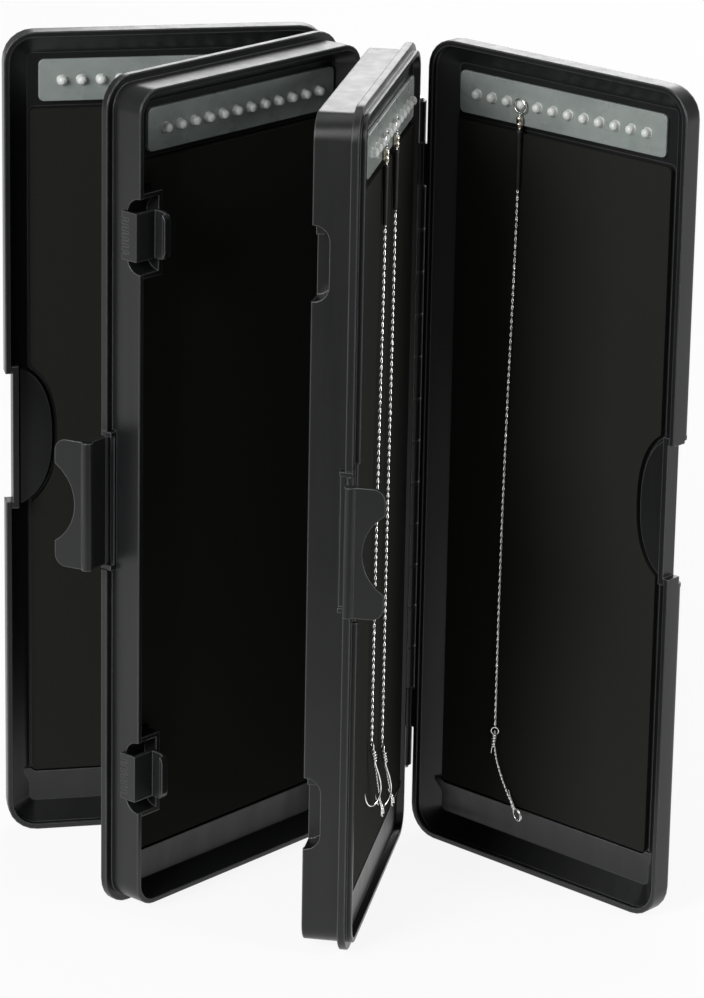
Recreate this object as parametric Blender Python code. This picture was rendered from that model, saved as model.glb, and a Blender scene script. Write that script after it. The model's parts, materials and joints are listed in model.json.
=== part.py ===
"""A fishing rig box that opens like a book: two trays and two covers on three upright hinges.

Each leaf is drawn in its own frame. There u runs from the hinge axis to the free edge, v runs from the
closing plane into the leaf, and z runs up along the hinges. The box stands on end, and a placing step
turns each leaf to where it stands.
"""

from math import asin, atan2, cos, hypot, pi, radians, sin

import bmesh
import bpy

mm = 0.001

# Outline shared by covers and tray flanges
leaf_width = 137.0 * mm
leaf_height = 355.0 * mm
corner_radius = 13.0 * mm
corner_steps = 6
least_radius = 2.0 * mm
hinge_reach = 4.8 * mm
closing_gap = 0.2 * mm
edge_break = 0.3 * mm
free_edge = hinge_reach + leaf_width
cut_past = 1.5 * mm
piece_gap = 0.3 * mm

# Angles of the leaves in plan, from the free edge to the hinge axis
cover_a_angle = 10.8
tray_a_angle = 47.6
tray_b_angle = 79.3
cover_b_angle = 136.6

# Tray section
tray_depth = 18.87 * mm
body_inset = 3.2 * mm
rim_wall = 2.4 * mm
flange_low = 15.4 * mm
flange_high = tray_depth - closing_gap
lip_high = 20.9 * mm
lip_wall = 2.2 * mm
inner_floor_inset = 10.7 * mm
inner_floor = 9.5 * mm
outer_floor_inset = 6.5 * mm
outer_floor = 18.0 * mm

# Cover section
cover_depth = 10.4 * mm
cover_rim_wall = 2.5 * mm
cover_rim_straight = 2.6 * mm
cover_floor_inset = 10.5 * mm
cover_floor = 8.4 * mm
cover_edge_radius = 3.0 * mm
edge_steps = 4

# Where the peg strips stand below the leaf's top
strip_top_margin = 13.2 * mm
strip_height = 17.9 * mm
strip_high = leaf_height - strip_top_margin
strip_low = strip_high - strip_height

# Foam, its pocket and the sloped ledge below it
foam_low = 25.6 * mm
foam_strip_gap = 3.2 * mm
foam_high = strip_low - foam_strip_gap
foam_margin = 1.0 * mm
pocket_edge = 0.3 * mm
ledge_low = 19.0 * mm
inner_foam_back = 11.0 * mm
inner_foam_front = 7.9 * mm
outer_foam_back = 13.4 * mm
outer_foam_front = 19.5 * mm
cover_foam_back = 8.8 * mm
cover_foam_front = 6.5 * mm
foam_corner = 3.0 * mm
small_corner_steps = 3

# Peg strips
strip_hinge_margin = 11.9 * mm
strip_free_margin = 15.3 * mm
strip_corner = 2.5 * mm
strip_gap = 0.2 * mm
inner_strip_front = 7.6 * mm
outer_strip_front = 19.6 * mm
cover_strip_front = 6.9 * mm
peg_count = 12
peg_pitch = 8.2 * mm
peg_radius = 2.0 * mm
peg_top_radius = 1.5 * mm
peg_bury = 0.6 * mm
inner_peg_height = 3.2 * mm
outer_peg_height = 2.8 * mm
peg_break = 0.5 * mm
peg_sides = 10

# Hinges
barrel_radius = 3.4 * mm
bore_radius = 1.5 * mm
pin_radius = 1.2 * mm
pin_head_radius = 2.3 * mm
pin_head_height = 1.2 * mm
pin_sides = 16
arm_bury = 1.2 * mm
knuckle_gap = 0.3 * mm
hinge_low_margin = 30.0 * mm
hinge_high_margin = 28.0 * mm
low_end_knuckle = 18.15 * mm
low_knuckle = 18.0 * mm
high_end_knuckle = 17.85 * mm
high_knuckle = 18.3 * mm
knuckle_marks = (
    hinge_low_margin,
    hinge_low_margin + low_end_knuckle,
    hinge_low_margin + low_end_knuckle + low_knuckle,
    leaf_height - hinge_high_margin - high_end_knuckle - high_knuckle,
    leaf_height - hinge_high_margin - high_end_knuckle,
    leaf_height - hinge_high_margin,
)
round_sides = 18

# Clips on the free edges
clip_length = 54.4 * mm
clip_rise = 2.0 * mm
clip_low = leaf_height / 2 + clip_rise - clip_length / 2
clip_high = clip_low + clip_length
clip_ear = 2.0 * mm
clip_pocket_inset = 3.8 * mm
clip_base_wall = 1.3 * mm
clip_axis_inset = 1.5 * mm
clip_axis_depth = 17.3 * mm
clip_bead_radius = 1.7 * mm
clip_pocket_drop = 4.3 * mm
clip_ear_wall = 1.4 * mm
clip_pocket_low = clip_axis_depth - clip_pocket_drop
clip_base_high = clip_axis_depth - clip_bead_radius - piece_gap
clip_ear_high = clip_axis_depth + clip_ear_wall
clip_bore_radius = 0.9 * mm
clip_pin_radius = 0.8 * mm
clip_ear_bore_radius = 0.86 * mm
clip_plate = 1.8 * mm
clip_ear_outset = 0.3 * mm
ridge_inset = 0.9 * mm
ridge_sink = 0.37 * mm
ridge_depth = tray_depth + cover_depth - ridge_sink
ridge_radius = 2.4 * mm
tab_length = 14.5 * mm
tab_wall = 1.8 * mm
tab_corner = 5.0 * mm
tab_flare_angle = 15.0
scoop_length = 33.0 * mm
scoop_depth = 9.0 * mm
scoop_steps = 10
clip_a_open_angle = 92.0
clip_b_open_angle = 77.0

# Notch, finger recess and bump on each cover's free edge
notch_clear = 1.3 * mm
notch_low = clip_low - notch_clear
notch_high = clip_high + notch_clear
notch_depth = 3.0 * mm
notch_wall = 2.6 * mm
notch_frame = 3.0 * mm
finger_low_margin = 5.0 * mm
finger_high_margin = 3.0 * mm
finger_low = notch_low - finger_low_margin
finger_high = notch_high + finger_high_margin
finger_reach = 22.0 * mm
finger_wall = 1.8 * mm
finger_bump_top = 5.8 * mm
finger_floor = 7.4 * mm
finger_slope = 1.6 * mm
finger_share = 0.42
finger_steps = 20
lip_clear = 1.0 * mm

# Slide latches between the trays
latch_low_margin = 61.5 * mm
latch_high_margin = 62.5 * mm
latch_centres = (latch_low_margin, leaf_height - latch_high_margin)
latch_half = 15.5 * mm
latch_deep = 7.2 * mm
latch_round = 6.6 * mm
latch_reach = 11.0 * mm
latch_wall = 2.0 * mm
latch_steps = 6
slider_half = 10.0 * mm
hook_corner = 4.0 * mm
pad_low = 0.5 * mm
pad_high = 8.7 * mm
pad_wall = 1.4 * mm
slider_wall = 1.6 * mm
hook_gap = 0.6 * mm
hook_out = 6.8 * mm
barb_reach = 1.8 * mm
grip_count = 6
grip_pitch = 2.7 * mm
grip_width = 1.1 * mm
grip_depth = 0.6 * mm
grip_low = 5.0 * mm
keeper_gap = 0.6 * mm
keeper_low = 0.9 * mm
keeper_high = 4.6 * mm
keeper_wall = 3.0 * mm

# Wire rigs that hang on pegs: swivel, sleeve, wire, knot, tail and hook
ring_radius = 2.5 * mm
ring_wire = 0.4 * mm
ring_steps = 16
ring_stand = 1.5 * mm
hang_gap = 0.15 * mm
neck_length = 1.4 * mm
swivel_radius = 1.25 * mm
swivel_length = 5.6 * mm
swivel_waist = 0.9 * mm
swivel_sides = 10
sleeve_gap = 0.4 * mm
sleeve_length = 25.0 * mm
sleeve_radius = 1.15 * mm
sleeve_bore = 0.6 * mm
wire_radius = 0.4 * mm
wire_sides = 6
wire_shares = (
    (0.0, 0.0),
    (0.04, 0.0),
    (0.08, 0.0),
    (0.12, 0.02),
    (0.17, 0.07),
    (0.24, 0.19),
    (0.32, 0.34),
    (0.4, 0.5),
    (0.48, 0.64),
    (0.56, 0.76),
    (0.64, 0.86),
    (0.73, 0.93),
    (0.82, 0.98),
    (0.91, 1.0),
    (1.0, 1.0),
)
knot_radius = 1.25 * mm
knot_waist = 0.95 * mm
knot_length = 9.0 * mm
knot_ribs = 4
tail_radius = 0.35 * mm
tail_offset = 0.8 * mm
tail_loop = 1.7 * mm
tail_loop_angle = 300.0
tail_steps = 7
tail_bow = 1.5
hook_wire = 0.45 * mm
hook_shank = 7.0 * mm
hook_bend = 4.6 * mm
hook_point = 5.0 * mm
hook_tip = 0.12 * mm
hook_steps = 10

# Each rig's peg, the height and lean of its wire's end, and where its tail goes from the knot
rig_b_peg = 3
rig_b_foot = 59.45 * mm
rig_b_lean = -3.6 * mm
rig_b_tail = (12.0 * mm, 25.0 * mm)
rig_c_peg = 8
rig_c_foot = 79.45 * mm
rig_c_lean = 7.0 * mm
rig_c_tail = (-10.0 * mm, 24.0 * mm)
rig_d_peg = 5
rig_d_foot = 68.45 * mm
rig_d_lean = 5.0 * mm
rig_d_tail = (-9.0 * mm, 19.0 * mm)


def rounded(low_u, high_u, low_z, high_z, radius, steps=corner_steps):
    """Corner points of a rounded rectangle, in order round it."""
    centres = (
        (high_u - radius, low_z + radius, -0.5),
        (high_u - radius, high_z - radius, 0.0),
        (low_u + radius, high_z - radius, 0.5),
        (low_u + radius, low_z + radius, 1.0),
    )
    ring = []
    for u, z, start in centres:
        for step in range(steps + 1):
            turn = pi * (start + 0.5 * step / steps)
            ring.append((u + radius * cos(turn), z + radius * sin(turn)))
    return ring


def outline(inset):
    """The leaf's outline moved inward by inset."""
    return rounded(
        hinge_reach + inset,
        free_edge - inset,
        inset,
        leaf_height - inset,
        max(corner_radius - inset, least_radius),
    )


def new_object(name, points, faces):
    mesh = bpy.data.meshes.new(name)
    mesh.from_pydata(points, [], faces)
    mesh.update()
    made = bpy.data.objects.new(name, mesh)
    bpy.context.scene.collection.objects.link(made)
    outward(made)
    return made


def outward(made):
    """Makes every face point out of the closed body."""
    work = bmesh.new()
    work.from_mesh(made.data)
    bmesh.ops.recalc_face_normals(work, faces=work.faces)
    work.to_mesh(made.data)
    work.free()


def loft(name, levels):
    """A closed body through levels, each a depth v and its points (u, z)."""
    points = [(u, v, z) for v, ring in levels for u, z in ring]
    count = len(levels[0][1])
    faces = [tuple(range(count)), tuple(range((len(levels) - 1) * count, len(levels) * count))]
    for level in range(len(levels) - 1):
        first = level * count
        for side in range(count):
            after = (side + 1) % count
            faces.append((first + side, first + after, first + count + after, first + count + side))
    return new_object(name, points, faces)


def block(name, low_u, high_u, low_v, high_v, low_z, high_z):
    corners = ((low_u, low_z), (high_u, low_z), (high_u, high_z), (low_u, high_z))
    return loft(name, [(low_v, corners), (high_v, corners)])


def upright(name, section, low_z, high_z):
    """A section (u, v) drawn out along z."""
    count = len(section)
    points = [(u, v, z) for z in (low_z, high_z) for u, v in section]
    faces = [tuple(range(count)), tuple(range(count, 2 * count))]
    faces += [(side, (side + 1) % count, count + (side + 1) % count, count + side) for side in range(count)]
    return new_object(name, points, faces)


def sideways(name, section, low_u, high_u):
    """A section (z, v) drawn out along u."""
    count = len(section)
    points = [(u, v, z) for u in (low_u, high_u) for z, v in section]
    faces = [tuple(range(count)), tuple(range(count, 2 * count))]
    faces += [(side, (side + 1) % count, count + (side + 1) % count, count + side) for side in range(count)]
    return new_object(name, points, faces)


def circle(centre_u, centre_v, radius, sides=round_sides):
    return [
        (centre_u + radius * cos(2 * pi * side / sides), centre_v + radius * sin(2 * pi * side / sides))
        for side in range(sides)
    ]


def lathe(name, centre_u, centre_v, levels, sides):
    """A closed body turned about an upright axis, from levels of height and radius."""
    points = [(u, v, z) for z, radius in levels for u, v in circle(centre_u, centre_v, radius, sides)]
    last = (len(levels) - 1) * sides
    faces = [tuple(range(sides)), tuple(range(last, last + sides))]
    for level in range(len(levels) - 1):
        for side in range(sides):
            here = level * sides
            after = (side + 1) % sides
            faces.append((here + side, here + after, here + sides + after, here + sides + side))
    return new_object(name, points, faces)


def flat_tube(name, route, depth, radii, sides, joined=False):
    """A round wire that follows a route of (u, z) points at one depth."""
    count = len(route)
    points = []
    for index, (u, z) in enumerate(route):
        before = route[index - 1] if index > 0 or joined else route[index]
        after = route[(index + 1) % count] if index < count - 1 or joined else route[index]
        run = hypot(after[0] - before[0], after[1] - before[1])
        across = (-(after[1] - before[1]) / run, (after[0] - before[0]) / run)
        radius = radii[index]
        for side in range(sides):
            turn = 2 * pi * side / sides
            wide = radius * cos(turn)
            points.append((u + across[0] * wide, depth + radius * sin(turn), z + across[1] * wide))
    faces = [] if joined else [tuple(range(sides)), tuple(range((count - 1) * sides, count * sides))]
    for index in range(count if joined else count - 1):
        here = index * sides
        beyond = (index + 1) % count * sides
        for side in range(sides):
            after = (side + 1) % sides
            faces.append((here + side, here + after, beyond + after, beyond + side))
    return new_object(name, points, faces)


def apply_boolean(made, tool, operation):
    modifier = made.modifiers.new("shape", "BOOLEAN")
    modifier.operation = operation
    modifier.solver = "EXACT"
    modifier.object = tool
    shaped = bpy.data.meshes.new_from_object(made.evaluated_get(bpy.context.evaluated_depsgraph_get()))
    made.modifiers.clear()
    made.data = shaped
    bpy.data.objects.remove(tool)
    return made


def add(made, *tools):
    for tool in tools:
        apply_boolean(made, tool, "UNION")
    return made


def cut(made, *tools):
    for tool in tools:
        apply_boolean(made, tool, "DIFFERENCE")
    return made


def knuckle_section(reach, centre_v, toward):
    """Barrel and arm in one outline: the arm stays on the leaf's own side of the closing plane."""
    start = asin(closing_gap / barrel_radius)
    swept = [start - (1.5 * pi + start) * step / round_sides for step in range(round_sides + 1)]
    section = [(reach, closing_gap)]
    section += [(barrel_radius * cos(turn), barrel_radius * sin(turn)) for turn in swept]
    section += [(reach, barrel_radius)]
    return [(u, centre_v + toward * v) for u, v in section]


def add_knuckles(shell, reach, centre_v, toward, first):
    """Every second knuckle of the hinge, from its first or second mark."""
    section = knuckle_section(reach, centre_v, toward)
    for low, high in zip(knuckle_marks[first::2], knuckle_marks[first + 1 :: 2]):
        add(shell, upright("knuckle", section, low + knuckle_gap / 2, high - knuckle_gap / 2))
    bore_low = knuckle_marks[0] - cut_past
    bore_high = knuckle_marks[-1] + cut_past
    return cut(shell, upright("bore", circle(0, centre_v, bore_radius), bore_low, bore_high))


def foam_box(name, inset, back, front, grow, corner):
    """The foam's block, or its pocket when grown, between a front and a back depth."""
    ring = rounded(
        hinge_reach + inset - grow,
        free_edge - inset + grow,
        foam_low - grow,
        foam_high + grow,
        corner,
        small_corner_steps,
    )
    return loft(name, [(front, ring), (back, ring)])


def ledge(name, inset, floor, front, bury):
    """The wedge under the foam, from the floor up to the foam's front."""
    top = foam_low - foam_margin
    high = top + cut_past
    section = ((ledge_low, floor), (top, front), (high, front), (high, bury), (ledge_low, bury))
    return sideways(name, section, hinge_reach + inset, free_edge - inset)


def finger_outline(inset, past):
    """D shape on the free edge: flat there, round inward."""
    middle = (finger_low + finger_high) / 2
    half = (finger_high - finger_low) / 2 - inset
    reach = finger_reach - inset
    points = [(free_edge + past, middle - half)]
    for step in range(1, finger_steps):
        turn = pi * (step / finger_steps - 0.5)
        share = abs(cos(turn)) ** (2 * finger_share)
        rise = abs(sin(turn)) ** (2 * finger_share) * (1 if turn > 0 else -1)
        points.append((free_edge - reach * share, middle + half * rise))
    points.append((free_edge + past, middle + half))
    return points


def make_cover(name):
    arc = [pi / 2 * step / edge_steps for step in range(edge_steps + 1)]
    levels = [
        (cover_floor, outline(cover_floor_inset)),
        (cover_rim_straight, outline(cover_rim_wall)),
        (closing_gap + edge_break, outline(cover_rim_wall)),
        (closing_gap, outline(cover_rim_wall - edge_break)),
        (closing_gap, outline(edge_break)),
        (closing_gap + edge_break, outline(0)),
    ]
    levels += [
        (cover_depth - cover_edge_radius * (1 - sin(turn)), outline(cover_edge_radius * (1 - cos(turn))))
        for turn in arc
    ]
    shell = loft(name, levels)
    add(
        shell,
        ledge("ledge", cover_rim_wall * 2, cover_floor, cover_foam_front, cover_foam_back + piece_gap),
        block(
            "notch frame",
            free_edge - notch_depth - notch_wall,
            free_edge - edge_break,
            closing_gap + edge_break,
            cover_floor + piece_gap,
            notch_low - notch_frame,
            notch_high + notch_frame,
        ),
    )
    pocket_inset = cover_floor_inset + pocket_edge + foam_margin
    cut(shell, foam_box("pocket", pocket_inset, cover_foam_back, -cut_past, foam_margin, foam_corner))
    add(
        shell,
        loft(
            "bump",
            [
                (finger_bump_top, finger_outline(finger_slope, -edge_break)),
                (cover_foam_back + piece_gap, finger_outline(0, -edge_break)),
            ],
        ),
    )
    cut(
        shell,
        loft(
            "finger recess",
            [
                (finger_floor, finger_outline(finger_wall, cut_past)),
                (cover_depth + cut_past, finger_outline(finger_wall - edge_break, cut_past)),
            ],
        ),
        upright(
            "notch",
            (
                (free_edge - notch_depth, -cut_past),
                (free_edge + cut_past, -cut_past),
                (free_edge + cut_past, cover_depth + cut_past),
                (free_edge - notch_depth, cover_depth + cut_past),
            ),
            notch_low,
            notch_high,
        ),
    )
    return add_knuckles(shell, hinge_reach + arm_bury, 0, 1, 1)


def latch_section(centre, past):
    """Half stadium in z and v, open at the closing plane."""
    points = [(centre - latch_half, -past)]
    for step in range(latch_steps + 1):
        turn = pi / 2 * step / latch_steps
        points.append(
            (
                centre - latch_half + latch_round * (1 - cos(turn)),
                latch_deep - latch_round * (1 - sin(turn)),
            )
        )
    for step in range(latch_steps + 1):
        turn = pi / 2 * (1 - step / latch_steps)
        points.append(
            (
                centre + latch_half - latch_round * (1 - cos(turn)),
                latch_deep - latch_round * (1 - sin(turn)),
            )
        )
    points.append((centre + latch_half, -past))
    return points


body_edge = free_edge - body_inset
recess_back = body_edge - latch_reach


def make_tray(name, first_knuckle, keepers):
    levels = [
        (inner_floor, outline(inner_floor_inset)),
        (closing_gap + edge_break, outline(body_inset + rim_wall)),
        (closing_gap, outline(body_inset + rim_wall - edge_break)),
        (closing_gap, outline(body_inset + edge_break)),
        (closing_gap + edge_break, outline(body_inset)),
        (flange_low, outline(body_inset)),
        (flange_low, outline(edge_break)),
        (flange_low + edge_break, outline(0)),
        (flange_high - edge_break, outline(0)),
        (flange_high, outline(edge_break)),
        (flange_high, outline(body_inset)),
        (lip_high - edge_break, outline(body_inset)),
        (lip_high, outline(body_inset + edge_break)),
        (lip_high, outline(body_inset + lip_wall - edge_break)),
        (lip_high - edge_break, outline(body_inset + lip_wall)),
        (outer_floor, outline(outer_floor_inset)),
    ]
    shell = loft(name, levels)
    add(
        shell,
        ledge("ledge", body_inset + rim_wall + cut_past, inner_floor, inner_foam_front, inner_foam_back),
        ledge("ledge", body_inset + lip_wall / 2, outer_floor, outer_foam_front, outer_floor - cut_past),
    )
    inner_inset = inner_floor_inset + pocket_edge + foam_margin
    outer_inset = outer_floor_inset + pocket_edge + foam_margin
    cut(
        shell,
        foam_box("pocket", inner_inset, inner_foam_back, -cut_past, foam_margin, foam_corner),
        foam_box("pocket", outer_inset, outer_foam_back, lip_high + cut_past, foam_margin, foam_corner),
    )
    for centre in latch_centres:
        add(
            shell,
            block(
                "latch house",
                recess_back - latch_wall,
                body_edge - edge_break,
                closing_gap + edge_break,
                inner_foam_back + piece_gap,
                centre - latch_half - latch_wall,
                centre + latch_half + latch_wall,
            ),
        )
        recess = latch_section(centre, cut_past)
        cut(shell, sideways("latch recess", recess, recess_back, free_edge + cut_past))
        if keepers:
            keeper_side = recess_back + hook_gap + slider_wall + keeper_gap
            add(
                shell,
                block(
                    "keeper",
                    keeper_side,
                    keeper_side + keeper_wall,
                    keeper_low,
                    keeper_high,
                    centre + slider_half + keeper_gap,
                    centre + latch_half + edge_break,
                ),
            )
    cut(
        shell,
        block(
            "clip pocket",
            free_edge - clip_pocket_inset,
            free_edge + cut_past,
            clip_pocket_low,
            lip_high + cut_past,
            clip_low - clip_ear - 2 * piece_gap,
            clip_high + clip_ear + 2 * piece_gap,
        ),
        block(
            "lip gap",
            free_edge - body_inset - lip_wall - piece_gap,
            free_edge + cut_past,
            flange_high - edge_break / 4,
            lip_high + cut_past,
            finger_low - lip_clear,
            finger_high + lip_clear,
        ),
    )
    add_knuckles(shell, hinge_reach + body_inset + arm_bury, 0, 1, first_knuckle)
    return add_knuckles(shell, hinge_reach + arm_bury, tray_depth, -1, 0)


def make_foam(name, inset, back, front):
    return foam_box(name, inset + pocket_edge + foam_margin, back, front, 0, foam_corner - foam_margin)


def make_inner_foam(name):
    foam = make_foam(name, inner_floor_inset, inner_foam_back - piece_gap, inner_foam_front)
    for centre in latch_centres:
        cut(
            foam,
            block(
                "latch clearance",
                recess_back - latch_wall - foam_margin,
                free_edge,
                -cut_past,
                inner_foam_back + cut_past,
                centre - latch_half - latch_wall - foam_margin,
                centre + latch_half + latch_wall + foam_margin,
            ),
        )
    return foam


def make_cover_foam(name):
    foam = make_foam(name, cover_floor_inset, cover_foam_back - piece_gap, cover_foam_front)
    clearance = finger_outline(-foam_margin, cut_past)
    return cut(foam, loft("bump clearance", [(0, clearance), (cover_depth, clearance)]))


def peg_place(peg):
    """Middle of a peg on the leaf."""
    low_u = hinge_reach + strip_hinge_margin
    high_u = free_edge - strip_free_margin
    first = (low_u + high_u - peg_pitch * (peg_count - 1)) / 2
    return first + peg * peg_pitch, (strip_low + strip_high) / 2


def make_strip(name, front, back, peg_height):
    """Plate and row of round pegs that stand out past the front."""
    outward_sign = 1 if front > back else -1
    low_u = hinge_reach + strip_hinge_margin
    high_u = free_edge - strip_free_margin
    plate = rounded(low_u, high_u, strip_low, strip_high, strip_corner, small_corner_steps)
    face = rounded(
        low_u + edge_break,
        high_u - edge_break,
        strip_low + edge_break,
        strip_high - edge_break,
        strip_corner - edge_break,
        small_corner_steps,
    )
    strip = loft(name, [(back, plate), (front - outward_sign * edge_break, plate), (front, face)])
    first, centre_z = peg_place(0)
    points, faces = [], []
    levels = (
        (front - outward_sign * peg_bury, peg_radius),
        (front + outward_sign * (peg_height - peg_break), peg_radius),
        (front + outward_sign * peg_height, peg_top_radius),
    )
    for peg in range(peg_count):
        start = len(points)
        for v, radius in levels:
            points += [(u, v, z) for u, z in circle(first + peg * peg_pitch, centre_z, radius, peg_sides)]
        faces += [tuple(start + side for side in range(peg_sides))]
        faces += [tuple(start + 2 * peg_sides + side for side in range(peg_sides))]
        for level in range(2):
            for side in range(peg_sides):
                here = start + level * peg_sides
                after = (side + 1) % peg_sides
                faces.append((here + side, here + after, here + peg_sides + after, here + peg_sides + side))
    return add(strip, new_object("pegs", points, faces))


clip_axis_u = free_edge - clip_axis_inset


def make_clip_base(name):
    low_u = free_edge - clip_pocket_inset + piece_gap
    low_v = clip_pocket_low + piece_gap
    low_ear = clip_low - clip_ear - piece_gap
    high_ear = clip_high + piece_gap
    base = block(name, low_u, low_u + clip_base_wall, low_v, clip_base_high, low_ear, high_ear + clip_ear)
    for low_z in (low_ear, high_ear):
        ear_u = free_edge - clip_ear_outset
        add(base, block("ear", low_u, ear_u, low_v, clip_ear_high, low_z, low_z + clip_ear))
    bore = circle(clip_axis_u, clip_axis_depth, clip_ear_bore_radius)
    return cut(base, upright("ear bore", bore, low_ear - cut_past, high_ear + clip_ear + cut_past))


def make_clip_flap(name):
    """Closed position: the plate runs along the cover's edge and the tab folds over its back."""
    flap = upright(name, circle(clip_axis_u, clip_axis_depth, clip_bead_radius), clip_low, clip_high)
    ridge_u = free_edge - ridge_inset
    along = (ridge_u - clip_axis_u, ridge_depth - clip_axis_depth)
    length = hypot(*along)
    across = (-along[1] / length * clip_plate / 2, along[0] / length * clip_plate / 2)
    plate = [
        (clip_axis_u - across[0], clip_axis_depth - across[1]),
        (ridge_u - across[0], ridge_depth - across[1]),
        (ridge_u + across[0], ridge_depth + across[1]),
        (clip_axis_u + across[0], clip_axis_depth + across[1]),
    ]
    add(
        flap,
        upright("plate", plate, clip_low, clip_high),
        upright("ridge", circle(ridge_u, ridge_depth, ridge_radius), clip_low, clip_high),
    )
    middle = (clip_low + clip_high) / 2
    half = (clip_high - clip_low) / 2
    scoop_half = scoop_length / 2
    scoop_radius = (scoop_half**2 + scoop_depth**2) / (2 * scoop_depth)
    scoop_turn = atan2(scoop_half, scoop_radius - scoop_depth)
    side_line = [(0, -half)]
    for step in range(corner_steps + 1):
        turn = pi / 2 * step / corner_steps
        side_line.append((tab_length - tab_corner * (1 - sin(turn)), -half + tab_corner * (1 - cos(turn))))
    scoop_centre = tab_length + scoop_radius - scoop_depth
    for step in range(scoop_steps + 1):
        turn = scoop_turn * (1 - 2 * step / scoop_steps)
        side_line.append((scoop_centre - scoop_radius * cos(turn), -scoop_radius * sin(turn)))
    for step in range(corner_steps + 1):
        turn = pi / 2 * (1 - step / corner_steps)
        side_line.append((tab_length - tab_corner * (1 - sin(turn)), half - tab_corner * (1 - cos(turn))))
    side_line.append((0, half))
    flare = radians(tab_flare_angle)
    points = []
    for level in (-tab_wall / 2, tab_wall / 2):
        for reach, rise in side_line:
            points.append(
                (
                    ridge_u - reach * cos(flare) + level * sin(flare),
                    ridge_depth + reach * sin(flare) + level * cos(flare),
                    middle + rise,
                )
            )
    count = len(side_line)
    faces = [tuple(range(count)), tuple(range(count, 2 * count))]
    faces += [(side, (side + 1) % count, count + (side + 1) % count, count + side) for side in range(count)]
    add(flap, new_object("tab", points, faces))
    bore = circle(clip_axis_u, clip_axis_depth, clip_bore_radius)
    return cut(flap, upright("bead bore", bore, clip_low - cut_past, clip_high + cut_past))


def open_clip(flap, opening):
    """Turns the flap about its own pin, outward from the closed position."""
    turn = radians(opening)
    for vertex in flap.data.vertices:
        u = vertex.co.x - clip_axis_u
        v = vertex.co.y - clip_axis_depth
        vertex.co.x = clip_axis_u + u * cos(turn) + v * sin(turn)
        vertex.co.y = clip_axis_depth - u * sin(turn) + v * cos(turn)
    return flap


def make_clip_pin(name):
    return upright(
        name,
        circle(clip_axis_u, clip_axis_depth, clip_pin_radius),
        clip_low - clip_ear,
        clip_high + clip_ear,
    )


def hook_section(centre, root_v):
    """The slider's hook seen along u: rounded corners at the tip, square at its root."""
    depth = min(root_v + hook_out, hook_corner)
    last = asin(1 - depth / hook_corner)
    arc = [(slider_half, root_v)] if depth == hook_corner else []
    for step in range(latch_steps + 1):
        turn = last + (pi / 2 - last) * step / latch_steps
        arc.append((slider_half - hook_corner * (1 - cos(turn)), -hook_out + hook_corner * (1 - sin(turn))))
    return [(centre - z, v) for z, v in arc] + [(centre + z, v) for z, v in reversed(arc)]


def make_slider(name, centre):
    pad_back = body_edge + piece_gap
    hook_back = recess_back + hook_gap
    low_z = centre - slider_half
    high_z = centre + slider_half
    slider = block(name, pad_back, pad_back + pad_wall, pad_low, pad_high, low_z, high_z)
    add(
        slider,
        block("side", hook_back, pad_back + pad_wall / 2, pad_low, pad_low + slider_wall, low_z, high_z),
        sideways(
            "hook",
            hook_section(centre, pad_low + slider_wall / 2),
            hook_back,
            hook_back + slider_wall,
        ),
        sideways(
            "barb",
            hook_section(centre, -hook_out + slider_wall),
            hook_back + slider_wall / 2,
            hook_back + slider_wall + barb_reach,
        ),
    )
    for grip in range(grip_count):
        middle = centre + (grip - (grip_count - 1) / 2) * grip_pitch
        cut(
            slider,
            block(
                "grip",
                pad_back + pad_wall - grip_depth,
                pad_back + pad_wall + cut_past,
                grip_low,
                pad_high + cut_past,
                middle - grip_width / 2,
                middle + grip_width / 2,
            ),
        )
    return slider


def make_hinge_pin(name):
    low_z = knuckle_marks[0] - pin_head_height
    high_z = knuckle_marks[-1] + pin_head_height
    levels = (
        (low_z, pin_head_radius),
        (low_z + pin_head_height, pin_head_radius),
        (low_z + pin_head_height, pin_radius),
        (high_z - pin_head_height, pin_radius),
        (high_z - pin_head_height, pin_head_radius),
        (high_z, pin_head_radius),
    )
    return lathe(name, 0, 0, levels, pin_sides)


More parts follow.
